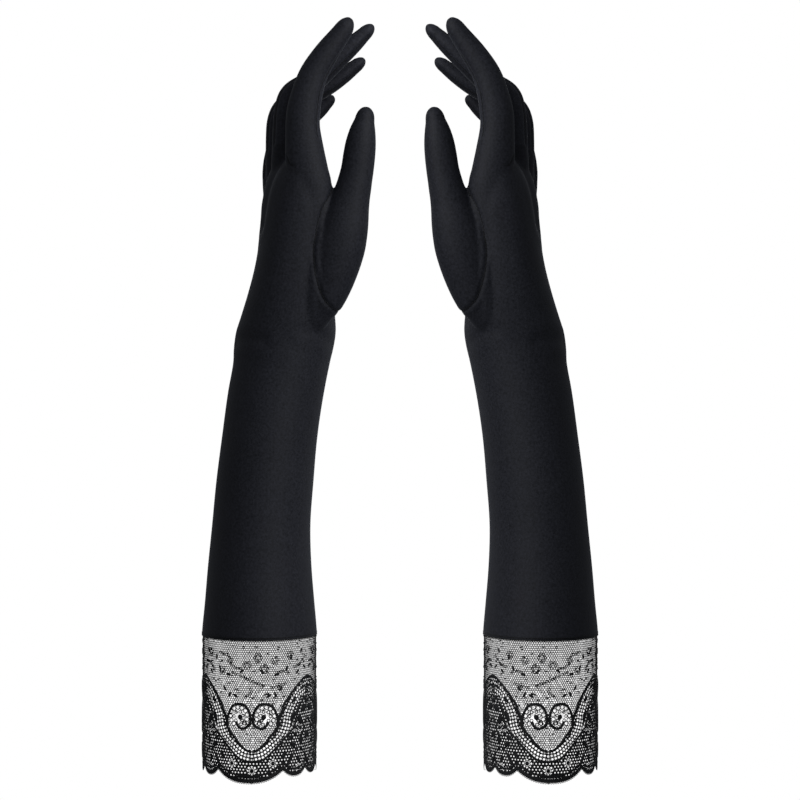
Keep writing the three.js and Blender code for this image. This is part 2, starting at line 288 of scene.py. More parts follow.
def thread_material(name, dark, light, scale, roughness):
    """Twisted thread: fine slanted bands of tone and relief; painted pale and glowing, a painted light, where
    the "inner" attribute is 1.
    """
    thread = Look(name)
    grain, twist = thread.textures(
        thread.add("TexNoise", Scale=scale, Detail=3.0, Roughness=0.6),
        thread.add("TexWave", {"bands_direction": "DIAGONAL"}, Scale=scale * 0.55, Distortion=2.0),
    )
    tone = thread.ramp(grain, (0.3, dark), (0.72, light))
    inner = thread.attribute("inner")
    return thread.finish(
        Base_Color=thread.mix("MIX", inner, tone, PAINTED_INNER_WHITE),
        Emission_Color=(1, 1, 1, 1), Emission_Strength=thread.calculate("MULTIPLY", inner, PAINTED_INNER_GLOW),
        Roughness=roughness, Specular_IOR_Level=0.2,
        Normal=thread.relief(twist, 0.4, 0.0001),
    )


SATIN = satin_material()
SEAM_THREAD = thread_material("seam_thread", (0.004, 0.0042, 0.005), (0.009, 0.0095, 0.011), 1500.0, 0.65)
NET_THREAD = thread_material("net_thread", (0.006, 0.0062, 0.007), (0.014, 0.0145, 0.016), 2400.0, 0.7)
CORD_THREAD = thread_material("cord_thread", (0.004, 0.0042, 0.005), (0.012, 0.0125, 0.014), 1700.0, 0.6)

# ---- Curves, lofts and sweeps ----

END_TAPER = 0.05  # how wide a swept cord is at its very ends, as a share of its width


def smooth_line(points, count):
    """Points on a smooth curve through the given ones, evenly spread in their parameter."""
    points = np.asarray(points, float)
    ends = np.vstack([2 * points[0] - points[1], points, 2 * points[-1] - points[-2]])
    place = np.linspace(0, len(points) - 1, count)
    step = np.minimum(place.astype(int), len(points) - 2)
    t = (place - step)[:, None]
    a, b, c, d = (ends[step + k] for k in range(4))
    return 0.5 * (2 * b + (c - a) * t + (2 * a - 5 * b + 4 * c - d) * t**2 + (3 * b - a - 3 * c + d) * t**3)


def resample(line, step):
    """The same line with points about a step apart."""
    line = np.asarray(line, float)
    run = np.concatenate([[0], np.cumsum(np.linalg.norm(np.diff(line, axis=0), axis=1))])
    place = np.linspace(0, run[-1], max(2, round(run[-1] / step) + 1))
    return np.stack([np.interp(place, run, line[:, k]) for k in range(line.shape[1])], 1)


def eased(places, values, at):
    """Values at given places, eased by a smooth curve through the listed ones."""
    places, values = np.asarray(places, float), np.asarray(values, float)
    slopes = np.gradient(values, places)
    step = np.clip(np.searchsorted(places, at) - 1, 0, len(places) - 2)
    width = places[step + 1] - places[step]
    t = np.clip((at - places[step]) / width, 0, 1)
    low, high = values[step], values[step + 1]
    return (
        (2 * t**3 - 3 * t**2 + 1) * low + (t**3 - 2 * t**2 + t) * width * slopes[step]
        + (3 * t**2 - 2 * t**3) * high + (t**3 - t**2) * width * slopes[step + 1]
    )


def ring_quads(rings, sides, closed=False):
    """Quads between rings of the same number of points; the last ring meets the first if closed."""
    around = np.arange(sides)
    after = (around + 1) % sides
    base = np.arange(rings if closed else rings - 1)[:, None] * sides
    top = (base + sides) % (rings * sides)
    return np.stack([base + around, base + after, top + after, top + around], -1).reshape(-1, 4)


def sweep(line, side_axis, up_axis, half_width, half_height, sides, closed=False):
    """A tube with an oval section along a line, with closed ends: points and quads."""
    angle = np.linspace(0, 2 * math.pi, sides, endpoint=False)
    along = np.gradient(line, axis=0)
    taper = np.ones(len(line))
    if not closed:
        taper[[0, -1]] = END_TAPER
    width = np.broadcast_to(np.asarray(half_width, float), len(line)) * taper
    height = np.broadcast_to(np.asarray(half_height, float), len(line)) * taper
    points = (
        line[:, None]
        + (width[:, None] * np.cos(angle))[..., None] * side_axis[:, None]
        + (height[:, None] * np.sin(angle))[..., None] * up_axis[:, None]
    )
    if np.linalg.det(np.stack([side_axis[0], up_axis[0], along[0]])) < 0:
        points = points[:, ::-1]
    return points.reshape(-1, 3), ring_quads(len(line), sides, closed)


def oval(middle, x_axis, y_axis, depth, width, sides, squareness=2.0):
    """A ring of points round a middle: an ellipse that grows squarer above 2."""
    angle = np.linspace(0, 2 * math.pi, sides, endpoint=False)
    u = np.sign(np.cos(angle)) * np.abs(np.cos(angle)) ** (2 / squareness)
    v = np.sign(np.sin(angle)) * np.abs(np.sin(angle)) ** (2 / squareness)
    return middle + depth * u[:, None] * x_axis + width * v[:, None] * y_axis


class Shape:
    """Points and quads gathered from several parts, with a material slot for each quad."""

    def __init__(self):
        self.points, self.quads, self.slots, self.count = [], [], [], 0

    def add(self, points, quads, slot=0):
        self.points.append(np.asarray(points, float))
        self.quads.append(np.asarray(quads) + self.count)
        self.slots.append(np.full(len(quads), slot))
        self.count += len(points)

    def whole(self):
        return np.vstack(self.points), np.vstack(self.quads), np.concatenate(self.slots)


# ---- The shape of the arm and hand ----

X_AXIS, Y_AXIS, Z_AXIS = np.eye(3)
ARM_SIDES = 96
# Height, middle in x, half depth in x, half width in y, squareness.
ARM_SECTIONS = np.array([
    [54, 0, 31.9, 38.5, 2.0], [77, 0, 31.6, 38.4, 2.0], [95, 0.1, 30.0, 36.7, 2.0],
    [112, 0.1, 28.6, 34.9, 2.0], [137, 1.0, 27.0, 33.0, 2.0], [161, 3.0, 26.7, 31.9, 2.0],
    [186, 5.7, 26.2, 30.8, 2.0], [211, 9.3, 26.4, 30.0, 2.0], [227, 12.3, 26.6, 30.2, 2.0],
    [236, 13.6, 27.3, 30.7, 2.0], [244, 14.8, 27.2, 31.8, 2.05], [252, 15.8, 25.7, 33.0, 2.1],
    [264, 17.4, 23.6, 34.8, 2.2], [277, 18.9, 21.7, 36.2, 2.3], [294, 20.2, 20.2, 37.2, 2.4],
    [310, 20.7, 19.4, 37.6, 2.4], [320, 19.8, 17.6, 37.0, 2.3], [330, 18.6, 13.6, 36.0, 2.2],
    [339, 17.8, 8.0, 33.0, 2.0],
])
ARM_LOW = 56.0
WRIST = 234.0
WEB_HEIGHT = 338.0  # between index and middle finger
WEB_DROP = 31.0  # how much lower the web lies at the little finger
HAND_WIDTH = 38.0
KNUCKLE_SLANT = 0.24  # the knuckles stand further back towards the little finger, for each millimetre in y


def arm_at(heights):
    """Middle, half depth, half width and squareness of the arm at heights."""
    return [eased(ARM_SECTIONS[:, 0], ARM_SECTIONS[:, k], heights) for k in (1, 2, 3, 4)]


def arm_rings():
    heights = np.append(np.arange(ARM_LOW, WEB_HEIGHT - 2, 4.0), WEB_HEIGHT - 1)
    rings = []
    for z, middle, depth, width, squareness in zip(heights, *arm_at(heights)):
        ring = oval(np.array([middle, 0, z]), X_AXIS, Y_AXIS, depth, width, ARM_SIDES, squareness)
        share = max(0.0, (z - WRIST) / (WEB_HEIGHT - WRIST))
        ring[:, 0] -= KNUCKLE_SLANT * share**3 * ring[:, 1]
        ring[:, 2] -= WEB_DROP * share * np.maximum(0, ring[:, 1]) / HAND_WIDTH
        rings.append(ring)
    return rings


# Each finger: points (x, z) on its axis, half depths (back to palm) and half widths at the same points, its
# tip, and its place in y. The thumb leans in y as well, so its points hold y too.
FINGERS = {
    "index": dict(
        y=-28.5,
        path=[(25, 270), (28, 296), (29, 318), (27.6, 328.4), (26.2, 338), (24.9, 352), (25.4, 361),
              (27, 369), (30.6, 380.4), (37.6, 392), (45.9, 403.2)],
        depth=[5, 9.6, 11.6, 11.2, 10.6, 9.4, 9.2, 8.6, 7.8, 6.8, 5.4],
        width=[4, 7.2, 8.4, 8.7, 8.7, 8.6, 8.4, 8.1, 7.4, 6.6, 5.2],
        tip=(51.2, 411)),
    "middle": dict(
        y=-9.3,
        path=[(20, 275), (19.4, 310), (18.2, 328), (17.4, 342), (17.3, 354), (18.0, 363), (20.6, 371),
              (29.6, 379.2), (41, 389.5), (51, 399), (58, 405.6)],
        depth=[6, 10, 10.6, 10, 9.6, 9.5, 9.2, 6.8, 5.6, 5.0, 3.9],
        width=[5, 8.2, 8.6, 8.6, 8.5, 8.4, 8.2, 7.5, 6.9, 6.2, 4.9],
        tip=(63, 410.4)),
    "ring": dict(
        y=9.7,
        path=[(18, 270), (15.6, 304), (13.9, 322), (12.7, 338), (12.2, 350), (12.8, 359.4), (15.4, 365.6),
              (21, 370.2), (28, 374.6), (38, 380), (46, 385.4), (53, 390.8)],
        depth=[6, 10, 10.2, 9.8, 9.4, 9.3, 8.9, 7.4, 5.9, 5.1, 4.5, 3.7],
        width=[5, 8.1, 8.4, 8.3, 8.2, 8.1, 7.9, 7.5, 7.1, 6.5, 5.8, 4.6],
        tip=(58, 394.6)),
    "little": dict(
        y=27.4,
        path=[(16, 262), (13.4, 290), (11.8, 308), (10.4, 322), (9.8, 335), (10.4, 346), (13.4, 353.4),
              (19.4, 359), (26.6, 364), (32.4, 368.8), (36.6, 373)],
        depth=[5, 9, 9.6, 9.8, 9.8, 8.2, 6.8, 5.8, 5.0, 4.4, 3.6],
        width=[4, 7.4, 7.6, 7.7, 7.6, 7.4, 7.0, 6.4, 5.8, 5.1, 4.2],
        tip=(40.2, 376.4)),
}
FINGER_NAMES = tuple(FINGERS)
THUMB = dict(
    path=[(27.5, -19, 243), (33, -21.2, 254), (36.8, -22.6, 261), (39.6, -23.6, 269), (42.4, -24.6, 279),
          (44.9, -25.6, 289.5), (47.7, -26.5, 301), (50.4, -27.2, 312), (52.5, -27.7, 321), (54.2, -28, 329),
          (55.3, -28.2, 337), (56.2, -28.4, 344), (57.2, -28.5, 350.6), (58.2, -28.5, 356)],
    depth=[6, 9, 10.8, 12.2, 13.4, 14.0, 12.8, 10.6, 9.5, 8.9, 8.7, 8.2, 7.0, 5.4],
    width=[6, 8.6, 10.2, 11.2, 12.2, 12.6, 12, 10.6, 9.8, 9.2, 9.0, 8.6, 7.5, 5.8],
    tip=(59.6, -28.5, 363.4))
# The flesh between the thumb and the palm, so that the thumb's seam lies on an even surface.
THUMB_HEEL = dict(
    path=[(26, -15, 240), (29.5, -19.6, 252), (31.6, -21.4, 266), (33, -22.2, 283), (34, -22.4, 298),
          (36, -21.6, 310)],
    depth=[5, 8.4, 9.4, 9.8, 8.8, 6],
    width=[5, 10, 12.2, 13, 12.2, 9],
    tip=(37, -21, 317))
TUBE_SIDES = 40
TUBE_RINGS = 72
TIP_LATITUDES = np.radians([12, 24, 36, 48, 60, 72, 83])


class Tube:
    """A finger or thumb: its axis, its half sizes, and the frame at each step along it."""

    def __init__(self, path, depth, width, tip):
        self.axis = smooth_line(path, TUBE_RINGS)
        sizes = smooth_line(np.stack([depth, width], 1), TUBE_RINGS)
        self.depth, self.width = sizes[:, 0], sizes[:, 1]
        along = np.gradient(self.axis, axis=0)
        self.along = along / np.linalg.norm(along, axis=1)[:, None]
        across = Y_AXIS - self.along * self.along[:, 1:2]
        self.across = across / np.linalg.norm(across, axis=1)[:, None]
        self.palmward = np.cross(self.across, self.along)
        self.tip = np.array(tip, float)

    def rings(self):
        made = [
            oval(self.axis[i], self.palmward[i], self.across[i], self.depth[i], self.width[i], TUBE_SIDES)
            for i in range(TUBE_RINGS)
        ]
        for latitude in TIP_LATITUDES:
            share, ahead = math.cos(latitude), math.sin(latitude)
            middle = self.axis[-1] + (self.tip - self.axis[-1]) * ahead
            made.append(oval(middle, self.palmward[-1], self.across[-1], self.depth[-1] * share,
                             self.width[-1] * share, TUBE_SIDES))
        return made

    def at_height(self, z):
        """The first step whose axis point reaches a height."""
        return int(np.argmax(self.axis[:, 2] >= z))

    def edge_line(self, degrees, low, high):
        """A line on the tube's side between two steps, at an angle from the palm side towards +y."""
        angle = math.radians(degrees)
        reach = math.cos(angle) * self.depth[:, None] * self.palmward
        reach = reach + math.sin(angle) * self.width[:, None] * self.across
        return (self.axis + reach)[low:high]


def with_y(points, y):
    return [(x, y, z) for x, z in points]


TUBES = {
    name: Tube(with_y(shape["path"], shape["y"]), shape["depth"], shape["width"],
               with_y([shape["tip"]], shape["y"])[0])
    for name, shape in FINGERS.items()
}
TUBES["thumb"] = Tube(**THUMB)
TUBES["thumb_heel"] = Tube(**THUMB_HEEL)

# ---- The skin: one smooth surface ----

VOXEL = 0.85
SMOOTHING = 9


def solid_faces(rings, sides):
    ends = [np.arange(sides)[::-1].tolist(), (np.arange(sides) + (rings - 1) * sides).tolist()]
    return ring_quads(rings, sides).tolist() + ends


def skin_surface():
    """Points and quads of the whole left glove, in its own frame: all the tubes grown into one."""
    points, faces = [], []
    for rings in [arm_rings()] + [tube.rings() for tube in TUBES.values()]:
        start = sum(len(p) for p in points)
        points += rings
        faces += [[start + k for k in face] for face in solid_faces(len(rings), len(rings[0]))]
    mesh = bpy.data.meshes.new("skin")
    mesh.from_pydata(np.vstack(points).tolist(), [], faces)
    rough = bpy.data.objects.new("skin", mesh)
    bpy.context.scene.collection.objects.link(rough)
    remesh = rough.modifiers.new("remesh", "REMESH")
    remesh.mode = "VOXEL"
    remesh.voxel_size = VOXEL
    relax = rough.modifiers.new("relax", "SMOOTH")
    relax.factor, relax.iterations = 0.5, SMOOTHING
    made = rough.evaluated_get(bpy.context.evaluated_depsgraph_get()).to_mesh()
    corners = np.empty(len(made.vertices) * 3, np.float32)
    made.vertices.foreach_get("co", corners)
    quads = np.empty(len(made.loops), np.int32)
    made.loops.foreach_get("vertex_index", quads)
    bpy.data.objects.remove(rough)
    bpy.data.meshes.remove(mesh)
    return corners.reshape(-1, 3).astype(float), quads.reshape(-1, 4)


def vertex_normals(points, quads):
    """Area-weighted vertex normals of quads."""
    a, b, c, d = (points[quads[:, k]] for k in range(4))
    face = np.cross(c - a, d - b)
    made = np.zeros_like(points)
    for k in range(4):
        np.add.at(made, quads[:, k], face)
    return made / np.maximum(np.linalg.norm(made, axis=1), 1e-12)[:, None]


# ---- Seams and folds, as lines on the skin ----

OUTSIDE = 120.0  # lines of sight start this far back, clear of the glove


def cast(tree, points, direction):
    """Where lines of sight along a direction first meet the skin."""
    direction = np.array(direction, float)
    starts = np.asarray(points, float) - OUTSIDE * direction
    hits = [tree.ray_cast(Vector(start), Vector(direction))[0] for start in starts]
    return np.array([tuple(hit) for hit in hits if hit is not None])


def unbroken(line):
    """A line up to where it first jumps from one finger to the next."""
    jumps = np.nonzero(np.linalg.norm(np.diff(line, axis=0), axis=1) > LONGEST_STEP)[0]
    return line[:jumps[0] + 1] if len(jumps) else line


def snap(tree, line):
    """The places on the skin nearest to a line's points."""
    return np.array([tuple(tree.find_nearest(Vector(p))[0]) for p in line])


# Directions of sight, from each side of the left glove.
FRONT, BACK, PALM_SIDE, LITTLE_SIDE = (0, 1, 0), (1, 0, 0), (-1, 0, 0), (0, -1, 0)
# The thumb's seam, seen from the index finger's side (x, z), then on round the palm (y, z).
THUMB_SEAM = [(41.2, 319), (38.3, 312.4), (35.1, 306), (32.9, 297.4), (31, 287.2), (31, 280.7), (32.4, 271.6),
              (35.6, 260.8), (39.4, 255.8)]
THUMB_SEAM_PALM = [(-22, 253), (-14, 261), (-8.5, 275), (-8, 290), (-12, 304), (-19, 314), (-25, 319)]
INDEX_SEAM = [(33.6, 346), (32.7, 352.4), (33.2, 360.4), (34.6, 371), (38.2, 380), (42.6, 388), (46.8, 394.6),
              (49.4, 402)]
WEB_SEAM = [(20, 330.6), (17.6, 332.6), (16.6, 336)]
STITCH = 1.0  # between two points of a seam
LONGEST_STEP = 3.0  # a longer one is a jump from finger to finger
# Each finger's fourchette seams: angles from the palm side towards +y.
STRIP_SEAMS = {
    "index": (42, 150), "middle": (-42, -150, 42, 150), "ring": (-42, -150, 42, 150), "little": (-42, -150),
}
SIDE_SEAM_TOP = 312.0
STRIP_START = {"index": 344, "middle": 344, "ring": 343, "little": 330}


def seen_from_front(tree, flat, count):
    """The line on the skin that looks, from the front, like a smooth line through (x, z) points."""
    return cast(tree, [(x, 0, z) for x, z in smooth_line(flat, count)], FRONT)


def seam_lines(tree):
    """The seams of the left glove, as lines of points on its skin."""
    palm = [(0, y, z) for y, z in smooth_line(THUMB_SEAM_PALM, 50)]
    lines = [np.vstack([seen_from_front(tree, THUMB_SEAM, 60), cast(tree, palm, PALM_SIDE)])]
    for flat in (INDEX_SEAM, WEB_SEAM):
        lines.append(unbroken(seen_from_front(tree, flat, 60)))
    for name, angles in STRIP_SEAMS.items():
        tube = TUBES[name]
        for angle in angles:
            lines.append(snap(tree, tube.edge_line(angle, tube.at_height(STRIP_START[name]), TUBE_RINGS)))
    heights = np.arange(CUFF_TOP + 1, SIDE_SEAM_TOP, 3.0)
    lines.append(cast(tree, [(middle, 0, z) for middle, z in zip(arm_at(heights)[0], heights)], LITTLE_SIDE))
    return [snap(tree, resample(line, STITCH)) for line in lines]


# Soft creases at the wrist: points (x, z) and depth.
WRIST_FOLDS = [([(-12.5, 237), (-6, 238.5), (3, 238)], 0.7), ([(40, 236), (34, 241), (26, 243)], 0.4)]
FOLD_WIDTH = 3.0
FOLD_LIP = 0.3  # how high the lips of a fold stand, as a share of its depth
KNUCKLE_HOLLOWS = ((-18.9, 336), (0.2, 334), (18.6, 321))  # their upper ends, as (y, z)
HOLLOW_LENGTH, HOLLOW_DEPTH, HOLLOW_WIDTH = 34.0, 1.0, 3.6


def fold_lines(tree):
    """Soft creases: (line, depth, width) at the wrist and between the knuckles."""
    folds = [(seen_from_front(tree, flat, 30), depth, FOLD_WIDTH) for flat, depth in WRIST_FOLDS]
    for y, top in KNUCKLE_HOLLOWS:
        valley = [(0, y * (0.8 + 0.2 * t), top - HOLLOW_LENGTH * (1 - t)) for t in np.linspace(0, 1, 30)]
        folds.append((cast(tree, valley, BACK), HOLLOW_DEPTH, HOLLOW_WIDTH))
    return folds


THUMB_GROOVE, GROOVE = 0.8, 0.5  # how deep the seams lie
SEAM_LIP, SEAM_WIDTH = 0.08, 0.95
LIP_PLACE = 2.4  # how far from a line its raised lips stand, in widths


def carve(points, normals, line, groove, ridge, width):
    """The points with a line pulled in among them, and raised lips beside it."""
    finder = KDTree(len(line))
    for i, p in enumerate(line):
        finder.insert(p, i)
    finder.balance()
    low, high = line.min(0) - 4 * width, line.max(0) + 4 * width
    near = np.nonzero(((points > low) & (points < high)).all(1))[0]
    away = np.array([finder.find(points[i])[2] for i in near])
    lift = -groove * np.exp(-(away / width) ** 2)
    lift += ridge * np.exp(-((away - LIP_PLACE * width) / width) ** 2)
    moved = points.copy()
    moved[near] += lift[:, None] * normals[near]
    return moved


def finished_skin():
    """The skin with its seams and folds worked in, and the seams' lines on it."""
    points, quads = skin_surface()
    tree = BVHTree.FromPolygons(points.tolist(), quads.tolist())
    seams = seam_lines(tree)
    normals = vertex_normals(points, quads)
    for line, depth, width in fold_lines(tree):
        points = carve(points, normals, line, depth, FOLD_LIP * depth, width)
    for i, line in enumerate(seams):
        points = carve(points, normals, line, THUMB_GROOVE if i == 0 else GROOVE, SEAM_LIP, SEAM_WIDTH)
    tree = BVHTree.FromPolygons(points.tolist(), quads.tolist())
    return points, quads, [snap(tree, line) for line in seams], tree


FINGER_REACH = 9.6  # half of what a finger takes up in y
# The strips of each finger that are painted lighter, a painted sheen: from one angle to another, from the
# palm side towards +y.
PAINTED_SHEEN_STRIPS = {
    "index": [(-30, 30), (42, 150)], "middle": [(-150, -42), (42, 150)],
    "ring": [(-150, -42), (42, 150)], "little": [(-150, -42)],
}


def painted_sheen_share(points):
    """1 on the strips between a finger's seams, which are painted a little lighter as a painted sheen, and 0
    elsewhere.
    """
    share = np.zeros(len(points))
    for name in FINGER_NAMES:
        tube = TUBES[name]
        first = tube.at_height(STRIP_START[name])
        lane = FINGERS[name]["y"]
        beside = np.abs(points[:, 1] - lane) < FINGER_REACH
        near = np.nonzero(beside & (points[:, 2] > STRIP_START[name]))[0]
        if name == "index":  # the thumb lies in the same lane, on the palm's side of a slanting line
            near = near[points[near, 0] < 43 + 0.6 * np.maximum(0, points[near, 2] - 385)]
        away = np.linalg.norm(points[near, None] - tube.axis[None, first:], axis=2)
        step = first + away.argmin(1)
        reach = points[near] - tube.axis[step]
        palmward = (reach * tube.palmward[step]).sum(1) / tube.depth[step]
        across = (reach * tube.across[step]).sum(1) / tube.width[step]
        angle = np.degrees(np.arctan2(across, palmward))
        for low, high in PAINTED_SHEEN_STRIPS[name]:
            share[near[(angle > low) & (angle < high)]] = 1
    return share


# ---- Which piece a place on the skin belongs to ----

FINGER_LANES = (-18.9, 0.2, 18.6)  # between the fingers, in y
ROOT_START = {"index": 341, "middle": 341, "ring": 341, "little": 327.5, "thumb": 324}
ROOT_END = {"index": 356, "middle": 355, "ring": 352, "little": 339.5, "thumb": 337}
# Where the end of a finger starts to bend: a point on its axis (x, z), and how long the bend is.
END_BEND = {
    "index": ((25.8, 364), 19), "middle": ((18.8, 364), 20), "ring": ((13.2, 357), 18),
    "little": ((10.4, 344.5), 13), "thumb": ((55.5, 339), 14),
}
THUMB_FROM_X, THUMB_TO_Y, THUMB_TOP = 42.0, -12.0, 367.0
WRIST_BEND = (206.0, 262.0)
PIECES = ("body",) + tuple(f"{name}_{part}" for name in (*FINGER_NAMES, "thumb") for part in ("root", "end"))


def end_direction(name):
    """The direction of a finger at the start of its end bend."""
    tube = TUBES[name]
    along = tube.along[tube.at_height(END_BEND[name][0][1] + 4)]
    return along / np.linalg.norm(along)


def end_start(name):
    x, z = END_BEND[name][0]
    return np.array([x, TUBES[name].axis[-1][1], z])


def piece_of(points):
    """The index in PIECES of each place."""
    lane = np.searchsorted(FINGER_LANES, points[:, 1])
    thumb = (points[:, 0] > THUMB_FROM_X) & (points[:, 1] < THUMB_TO_Y) & (points[:, 2] < THUMB_TOP)
    owner = np.where(thumb, len(FINGER_NAMES), lane)
    names = (*FINGER_NAMES, "thumb")
    start = np.array([ROOT_START[name] for name in names])[owner]
    at_end = np.zeros(len(points), bool)
    for i, name in enumerate(names):
        at_end |= (owner == i) & ((points - end_start(name)) @ end_direction(name) > 0)
    return np.where(points[:, 2] <= start, 0, 1 + 2 * owner + at_end)


# ---- Pieces ----

made_pieces = {side: [] for side in SIDES}


def add_piece(name, points, quads, side, materials, slots=None, normals=None, marks=None):
    """A mesh piece in the row frame; the right glove's faces are turned round by the mirror.

    marks is (name, a value for each point): an attribute that the piece's material reads.
    """
    used, quads = np.unique(quads, return_inverse=True)
    quads = quads.reshape(-1, 4)
    placed = to_row(points[used], side)
    if side == "right":
        quads = quads[:, ::-1]
    mesh = bpy.data.meshes.new(f"{side}_{name}")
    mesh.vertices.add(len(placed))
    mesh.vertices.foreach_set("co", placed.ravel().astype(np.float32))
    mesh.loops.add(quads.size)
    mesh.loops.foreach_set("vertex_index", quads.ravel().astype(np.int32))
    mesh.polygons.add(len(quads))
    mesh.polygons.foreach_set("loop_start", np.arange(0, quads.size, 4, dtype=np.int32))
    mesh.polygons.foreach_set("use_smooth", np.ones(len(quads), bool))
    for material in materials:
        mesh.materials.append(material)
    if slots is not None:
        mesh.polygons.foreach_set("material_index", slots.astype(np.int32))
    mesh.update(calc_edges=True)
    if marks is not None:
        values = marks[1][used].astype(np.float32)
        mesh.attributes.new(marks[0], "FLOAT", "POINT").data.foreach_set("value", values)
    if normals is not None:
        turned = normals[used] * np.array([SIDES[side], 1, 1])
        mesh.normals_split_custom_set_from_vertices(turned.tolist())
    piece = bpy.data.objects.new(f"{side}_{name}", mesh)
    bpy.context.scene.collection.objects.link(piece)
    made_pieces[side].append(piece)
    return piece


THREAD_RADIUS = 0.26
ZIGZAG = 0.22
HEM_INSET = 0.8
LINING_HEIGHT = 110.0


def seam_thread(line, tree):
    """Stitching along a seam: a fine thread that goes from side to side of the groove."""
    up = np.array([tuple(tree.find_nearest(Vector(p))[1]) for p in line])
    along = np.gradient(line, axis=0)
    side = np.cross(along, up)
    side /= np.linalg.norm(side, axis=1)[:, None]
    sway = ZIGZAG * np.where(np.arange(len(line)) % 2, 1, -1)
    return sweep(line + sway[:, None] * side, side, up, THREAD_RADIUS, THREAD_RADIUS, 6)


def hem_and_lining():
    """The sleeve's lower edge, turned in, and the inside of the sleeve above it."""
    rings = []
    for z, inset in [(CUFF_TOP, 0), (CUFF_TOP - 0.3, HEM_INSET / 2), (CUFF_TOP, HEM_INSET)] + [
        (CUFF_TOP + rise, HEM_INSET) for rise in np.linspace(4, LINING_HEIGHT, 24)
    ]:
        middle, depth, width, _ = (value[0] for value in arm_at(np.array([z])))
        rings.append(oval(np.array([middle, 0, z]), X_AXIS, Y_AXIS, depth - inset, width - inset, ARM_SIDES))
    return np.vstack(rings), ring_quads(len(rings), ARM_SIDES)[:, ::-1]


def build_skin():
    """The satin of both gloves, parted at the joints."""
    points, quads, seams, tree = finished_skin()
    quads = quads[(points[quads][:, :, 2] > CUFF_TOP).any(1)]
    points[:, 2] = np.maximum(points[:, 2], CUFF_TOP)
    normals = vertex_normals(points, quads)
    # Where the painted sheen lightens the finger strips.
    share = painted_sheen_share(points)
    whole = Shape()
    whole.add(points, quads)
    for line in seams:
        whole.add(*seam_thread(line, tree), slot=1)
    whole.add(*hem_and_lining())
    points, quads, slots = whole.whole()
    made_normals = vertex_normals(points, quads)
    made_normals[:len(normals)] = normals
    share = np.concatenate([share, np.zeros(len(points) - len(share))])
    owner = piece_of(points[quads].mean(1))
    for side in SIDES:
        for i, name in enumerate(PIECES):
            mine = owner == i
            piece = add_piece(f"satin_{name}", points, quads[mine], side, [SATIN, SEAM_THREAD], slots[mine],
                              made_normals, ("strip", share))
            join_bodies(piece, name, side)


def join_bodies(piece, name, side):
    """Bakes a piece of skin's transform and hides the plain pieces that it stands for."""
    digit, _, part = name.partition("_")
    if part == "":
        start, end = ((0, 0, z) for z in WRIST_BEND)
        stem, endings = side, ("sleeve", "side_seam", "seam_tape", "hand", "thumb_base")
    elif part == "root":
        start, end = ((0, 0, heights[digit]) for heights in (ROOT_START, ROOT_END))
        stem, endings = f"{side}_{digit}", ("lower",)
    else:
        start = end_start(digit)
        end = start + END_BEND[digit][1] * end_direction(digit)
        stem, endings = f"{side}_{digit}", ("upper", "tip")
    hidden = [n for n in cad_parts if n.startswith(stem) and n.endswith(endings)]
    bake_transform(piece)
    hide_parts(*hidden)


# ---- Lace: drawn flat as (u, v, n), n outwards, then wrapped round the arm ----

LACE_DEPTH, LACE_WIDTH = 31.0, 38.1  # half sizes of the oval that the lace lies on
LACE_TURN = math.radians(-93.5)  # where the middle of the front scallop lies
REPEATS = 3
TURN = np.linspace(0, 2 * math.pi, 3601)
OVAL = np.stack([LACE_DEPTH * np.cos(TURN + LACE_TURN), LACE_WIDTH * np.sin(TURN + LACE_TURN)], 1)
RUN = np.concatenate([[0], np.cumsum(np.linalg.norm(np.diff(OVAL, axis=0), axis=1))])
ROUND = RUN[-1]
REPEAT = ROUND / REPEATS
SCALLOP = 19.4  # half the width of a wide scallop
LITTLE_SCALLOP = (REPEAT / 2 - SCALLOP) / 2
EDGE_SHIFT = 2.0  # the scallops stand this far towards the back of the hand from the pattern
NET_TOP = CUFF_TOP + 0.4

# Cords of one half of a repeat, as (u, v); each has a mirror image on the other side of u = 0.
OGEE = [(0, 17.6), (3.5, 18.7), (7, 22), (11.6, 27.5), (14.3, 31), (14.8, 35.5), (16.5, 39), (19, 43.8),
        (24.5, 49.8), (31.5, 54.8), (36.8, 56.5)]
SPIRAL = [(13.6, 30.5), (14, 34.7), (12.9, 38.5), (10.8, 41.7), (7.6, 43), (4.4, 42.7), (2.2, 40.6),
          (0.9, 36.9), (0.9, 33.1), (2.8, 30.7), (5.4, 29.9), (7.8, 31.5), (8.6, 33.9)]
SPIRAL_MIDDLE = (7.4, 36.4)
SPIRAL_INSIDE = 6.0  # the net stops this far from a spiral's middle
INNER_SIDE = -0.05  # thread below this height faces the arm
BEAD_BAND = [(0, 15.1), (5.5, 16.4), (11, 20.6), (16.6, 25.6), (19.4, 31), (20.6, 37), (23.6, 42.4),
             (29, 48.2), (36.8, 51.2)]
SWAG = [(0, 12.2), (6, 13.4), (12, 18.4), (18.4, 24.6), (22.6, 27.6)]
SIDE_CORDS = [
    [(22.6, 27.6), (25.6, 32), (27, 37.4), (30.6, 42.6), (36.8, 46.4)],
    [(19.2, 8.6), (22.6, 14), (28.1, 18.6), (33.6, 14), (36.8, 9)],
    [(22.6, 27.6), (27.4, 24.6), (31.6, 26.6), (33, 31), (36.8, 34)],
]
LEAVES = [  # middle u, v, length, width, lean in degrees
    (6.4, 36, 3.2, 2.6, 70), (24, 35.6, 6, 3.4, 60), (29.4, 33.4, 6, 3.6, 120), (33.2, 39.2, 6, 3.6, 30),
    (30.4, 21.8, 5.4, 3.2, 90), (24, 20.4, 4.8, 2.4, 130), (35.2, 24.4, 4.8, 2.6, 70),
    (22.4, 24.2, 4, 2.2, 40), (28.1, 12.4, 4.2, 2.6, 90), (24.6, 44.4, 4, 2, 50), (31.8, 50.6, 4.4, 2, 20),
    (17.4, 15.2, 4, 2, 40),
]
FLOWERS = [(11.4, 11.2), (0, 7.4), (29.6, 29), (28.1, 7.6), (35.4, 43), (25.4, 29.6)]
